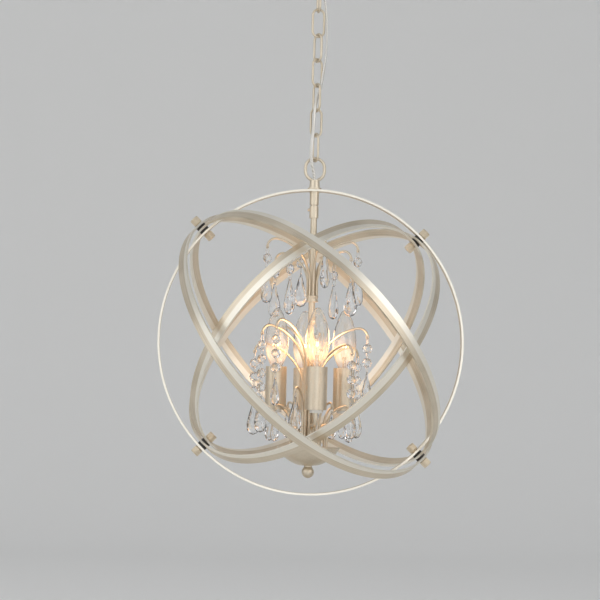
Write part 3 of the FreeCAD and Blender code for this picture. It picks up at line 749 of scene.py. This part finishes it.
# Two lead wires out of the glass stem that carry a lit, zigzag filament
def makeFilament():
    spread, coil = filament["spread"], filament["coil"]
    foot, top = filament["foot"], filament["top"]
    pieces = []
    for side in (-1, 1):
        deselectAll()
        bpy.ops.mesh.primitive_cylinder_add(vertices=filament["sides"], radius=filament["wire"],
                                            depth=top - foot,
                                            location=(side * spread / 2, 0, (top + foot) / 2))
        lead = bpy.context.object
        bpy.ops.object.transform_apply(location=True, rotation=False, scale=False)
        selectVertices(lead, lambda place: place.z > (top + foot) / 2)
        bpy.ops.transform.translate(value=(side * spread / 2, 0, 0))
        bpy.ops.object.mode_set(mode="OBJECT")
        bpy.ops.object.shade_smooth()
        setMaterial(lead, wireMetal)
        pieces.append(lead)
    leads = joined(pieces, "leads")
    deselectAll()
    bpy.ops.mesh.primitive_circle_add(vertices=filament["sides"], radius=coil,
                                      rotation=(0, math.pi / 2, 0), location=(-spread, 0, top))
    glow = bpy.context.object
    bpy.ops.object.transform_apply(location=True, rotation=True, scale=False)
    bpy.ops.object.mode_set(mode="EDIT")
    bpy.ops.mesh.select_all(action="SELECT")
    along = 2 * spread / filament["bends"]
    for step in range(filament["bends"]):
        rise = filament["bendHeight"] * (-1) ** step
        bpy.ops.mesh.extrude_region_move(TRANSFORM_OT_translate={"value": (along, 0, rise)})
    bpy.ops.mesh.select_all(action="SELECT")
    bpy.ops.mesh.normals_make_consistent(inside=False)
    bpy.ops.object.mode_set(mode="OBJECT")
    bpy.ops.object.shade_smooth()
    setMaterial(glow, litFilament)
    return leads, glow


def makeFilaments():
    leads, glow = makeFilament()
    for master, name in ((leads, "filament_leads"), (glow, "filament_coils")):
        copies = []
        for number in range(lampCount):
            turn = math.radians(filament["turn"] + 360 / lampCount * number)
            place = orbCentre + Vector((math.cos(turn), math.sin(turn), 0)) * filament["ring"]
            copies.append(meshCopy(master, Matrix.Translation(place) @ Matrix.Rotation(turn, 4, "Z")))
        whole = joined(copies, name)
        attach(whole, "fixture")
    discard(leads, glow)


makeFilaments()
print("filaments made")


knob = {
    "radius": 0.0059,
    "neckRadius": 0.0042,
    "shankRadius": 0.002,
    "neck": 0.0009,
    "length": 0.0096,
    "rim": 0.0012,
    "teeth": 22,
    "grooveWidth": 0.0003,
    "grooveDepth": -0.0005,
    "rimSegments": 3,
    "rimAngle": 60.0,
    "dimple": 0.3,              # share of the radius that stays as a rim round the end's dimple
    "stackRadius": 0.009,       # no pivot hardware stands farther from its own axis
}


def selectFaces(piece, wanted):
    bpy.ops.object.mode_set(mode="EDIT")
    bpy.ops.mesh.select_mode(type="FACE")
    bpy.ops.mesh.select_all(action="DESELECT")
    bpy.ops.object.mode_set(mode="OBJECT")
    for face in piece.data.polygons:
        face.select = wanted(face)
    bpy.ops.object.mode_set(mode="EDIT")


# A knurled knob that stands on the origin with a short neck, over a shank that goes down from it
def makeKnob(name, shank):
    deselectAll()
    bpy.ops.mesh.primitive_cylinder_add(vertices=knob["teeth"], radius=knob["radius"], depth=knob["length"],
                                        location=(0, 0, knob["neck"] + knob["length"] / 2))
    piece = bpy.context.object
    piece.name = name
    bpy.ops.object.transform_apply(location=True, rotation=False, scale=False)
    rims = piece.modifiers.new("rims", "BEVEL")
    rims.width = knob["rim"]
    rims.segments = knob["rimSegments"]
    rims.limit_method = "ANGLE"
    rims.angle_limit = math.radians(knob["rimAngle"])
    bpy.ops.object.modifier_apply(modifier=rims.name)
    middle = knob["neck"] + knob["length"] / 2
    nearMiddle = knob["length"] / 8
    selectFaces(piece, lambda face: abs(face.normal.z) < 0.05 and abs(face.center.z - middle) < nearMiddle)
    bpy.ops.mesh.inset(thickness=knob["grooveWidth"], depth=knob["grooveDepth"], use_individual=True)
    bpy.ops.object.mode_set(mode="OBJECT")
    selectFaces(piece, lambda face: face.normal.z > 0.99)
    bpy.ops.mesh.inset(thickness=knob["radius"] * knob["dimple"])
    bpy.ops.mesh.extrude_region_move(TRANSFORM_OT_translate={"value": (0, 0, -knob["rim"] / 3)})
    bpy.ops.object.mode_set(mode="OBJECT")
    selectFaces(piece, lambda face: face.normal.z < -0.99)
    bpy.ops.mesh.inset(thickness=knob["radius"] - knob["rim"] - knob["neckRadius"])
    bpy.ops.mesh.extrude_region_move(TRANSFORM_OT_translate={"value": (0, 0, -knob["neck"])})
    if shank > 0:
        bpy.ops.mesh.inset(thickness=knob["neckRadius"] - knob["shankRadius"])
        bpy.ops.mesh.extrude_region_move(TRANSFORM_OT_translate={"value": (0, 0, -shank)})
    bpy.ops.object.mode_set(mode="OBJECT")
    setMaterial(piece, hangingMetal)
    return piece


# How far out a pivot's hardware begins and ends along one direction from the orb's centre
def spanAlong(node, direction):
    spots = [vertex.co - orbCentre for vertex in nodes[node].data.vertices]
    outward = []
    for spot in spots:
        along = spot.dot(direction)
        if along > 0 and (spot - direction * along).length < knob["stackRadius"]:
            outward.append(along)
    return min(outward), max(outward)


def makeKnobs():
    # Rings 1 and 2 turn on one pair of bolts, rings 3 and 4 on the other
    axes = [Vector(joints["ring_%d_turn" % ring]["axis"]) for ring in (1, 3)]
    low, high = spanAlong("pivot_bolts", axes[0])
    stand = knob["neck"] + knob["length"]
    bolt, nut = makeKnob("bolt", high - stand - low), makeKnob("nut", 0)
    bolts, nuts = [], []
    for axis in axes:
        for direction in (axis, -axis):
            foot = spanAlong("pivot_bolts", direction)[1] - stand
            turn = direction.to_track_quat("Z", "Y").to_matrix().to_4x4()
            bolts.append(meshCopy(bolt, Matrix.Translation(orbCentre + direction * foot) @ turn))
            face = spanAlong("pivot_cap_nuts", direction)[1]
            turn = (-direction).to_track_quat("Z", "Y").to_matrix().to_4x4()
            nuts.append(meshCopy(nut, Matrix.Translation(orbCentre + direction * face) @ turn))
    discard(bolt, nut)
    groups = ((bolts, "knurled_bolts", "pivot_bolts"), (nuts, "knurled_nuts", "pivot_cap_nuts"))
    for pieces, name, node in groups:
        whole = joined(pieces, name)
        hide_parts(node)
        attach(whole, bodyOf[node])


makeKnobs()
print("knobs made")


hoopLow, hoopHigh = boxOf("fixed_hoop")[:2]
bandHalfWidth = (hoopHigh.y - hoopLow.y) / 2
finishNode("fixed_hoop", champagneMetal("hoopMetal", (0, 1, 0), halfWidth=bandHalfWidth))
for number in range(1, ringCount + 1):
    pivot = Vector(joints["ring_%d_turn" % number]["axis"])
    spots = [vertex.co - orbCentre for vertex in nodes["orb_ring_%d" % number].data.vertices]
    farthest = max(spots, key=lambda spot: (spot - pivot * spot.dot(pivot)).length)
    axis = pivot.cross(farthest).normalized()
    metal = champagneMetal("ringMetal%d" % number, tuple(axis), halfWidth=bandHalfWidth)
    finishNode("orb_ring_%d" % number, metal)
metalNodes = ["ceiling_canopy", "canopy_collar_nut", "canopy_loop", "hub_loop", "hub_washer",
              "stem_couplings", "coupling_set_screw", "stem_tube", "arm_collar", "crystal_arms",
              "socket_arms", "socket_sleeves", "dish_bowl", "dish_cover", "finial"]
metalNodes += ["chain_link_%d" % number for number in range(1, linkCount + 1)]
for node in metalNodes:
    finishNode(node, hangingMetal)
# The washers' near-black is painted shade for the gaps between the bands
finishNode("pivot_washers", gapShadeWasher)
finishNode("mounting_strap", zincSteel)
finishNode("canopy_nipple", zincSteel)
finishNode("lamp_sockets", glazedCeramic)
finishNode("bulb_glass", bulbGlass)
finishNode("bulb_bases", nickelBase)
print("frame finished")


stage = {
    "floor": -0.45,             # from the orb's centre
    "size": 14.0,
    "backdrop": 3.2,
    "paper": (0.86, 0.86, 0.85),
    "sky": (0.95, 0.97, 1.0),
    "shade": (0.06, 0.055, 0.05),
    "patches": 4.6,
    "skyStrength": 0.85,
    "wall": 5.0,
    "sweep": 1.2,
}


def stageMaterial():
    material, tree, shader, point = newMaterial("palePaper")
    shader.inputs["Base Color"].default_value = (*stage["paper"], 1)
    shader.inputs["Roughness"].default_value = 0.9
    return material


# A floor that runs up into a backdrop in one sweep
def makeStage():
    deselectAll()
    size = stage["size"]
    floorZ = orbCentre.z + stage["floor"]
    bpy.ops.mesh.primitive_plane_add(size=size, location=(0, stage["backdrop"] - size / 2, floorZ))
    floor = bpy.context.object
    floor.name = "floor"
    bpy.ops.object.transform_apply(location=True, rotation=False, scale=False)
    selectVertices(floor, lambda place: place.y > stage["backdrop"] - 0.01)
    bpy.ops.mesh.select_mode(type="EDGE")
    bpy.ops.mesh.extrude_region_move(TRANSFORM_OT_translate={"value": (0, 0, stage["wall"])})
    bpy.ops.object.mode_set(mode="OBJECT")
    bend = floor.modifiers.new("sweep", "BEVEL")
    bend.width = stage["sweep"]
    bend.segments = 16
    bpy.ops.object.modifier_apply(modifier=bend.name)
    bpy.ops.object.shade_smooth()
    setMaterial(floor, stageMaterial())


lamps = (
    {"name": "windowLight", "place": (-2.2, -1.6, 1.2), "size": 3.2, "power": 27,
     "colour": (1.0, 0.99, 0.97)},
    {"name": "roomLight", "place": (2.0, -1.8, 0.8), "size": 1.8, "power": 14,
     "colour": (1.0, 0.97, 0.93)},
    {"name": "frontLight", "place": (0.2, -2.6, -0.2), "size": 1.6, "power": 10,
     "colour": (1.0, 1.0, 1.0)},
)
warmLamp = {
    "power": 0.1,
    "colour": (1.0, 0.55, 0.27),
    "radius": 0.018,
    "height": 0.004,            # from the orb's centre
    "ring": 0.037,
}


def makeLights():
    for values in lamps:
        light = bpy.data.lights.new(values["name"], "AREA")
        light.size = values["size"]
        light.energy = values["power"]
        light.color = values["colour"]
        lamp = bpy.data.objects.new(values["name"], light)
        bpy.context.scene.collection.objects.link(lamp)
        place = orbCentre + Vector(values["place"])
        lamp.location = place
        lamp.rotation_euler = (orbCentre - place).to_track_quat("-Z", "Y").to_euler()
    for number in range(lampCount):
        turn = math.radians(filament["turn"] + 360 / lampCount * (number + 0.5))
        light = bpy.data.lights.new("bulbLight%d" % number, "POINT")
        light.energy = warmLamp["power"]
        light.color = warmLamp["colour"]
        light.shadow_soft_size = warmLamp["radius"]
        lamp = bpy.data.objects.new("bulbLight%d" % number, light)
        lamp.visible_transmission = False       # the glass shows the filament instead
        bpy.context.scene.collection.objects.link(lamp)
        outward = Vector((math.cos(turn), math.sin(turn), 0)) * warmLamp["ring"]
        lamp.location = orbCentre + outward + Vector((0, 0, warmLamp["height"]))


# A room of soft light and dark patches, for the cut crystals to break up
def makeWorld():
    world = bpy.data.worlds.new("studio")
    world.use_nodes = True
    tree = world.node_tree
    direction = addNode(tree, "ShaderNodeTexCoord")
    patches = addNode(tree, "ShaderNodeTexNoise")
    patches.inputs["Scale"].default_value = stage["patches"]
    patches.inputs["Detail"].default_value = 2.0
    tree.links.new(direction.outputs["Generated"], patches.inputs["Vector"])
    ramp = colourRamp(tree, [(0.47, stage["shade"]), (0.53, stage["sky"])])
    tree.links.new(patches.outputs["Fac"], ramp.inputs["Fac"])
    tree.links.new(ramp.outputs["Color"], tree.nodes["Background"].inputs["Color"])
    tree.nodes["Background"].inputs["Strength"].default_value = stage["skyStrength"]
    bpy.context.scene.world = world


makeStage()
makeLights()
makeWorld()
bpy.context.scene.view_settings.view_transform = "Standard"
print("stage and lights set")
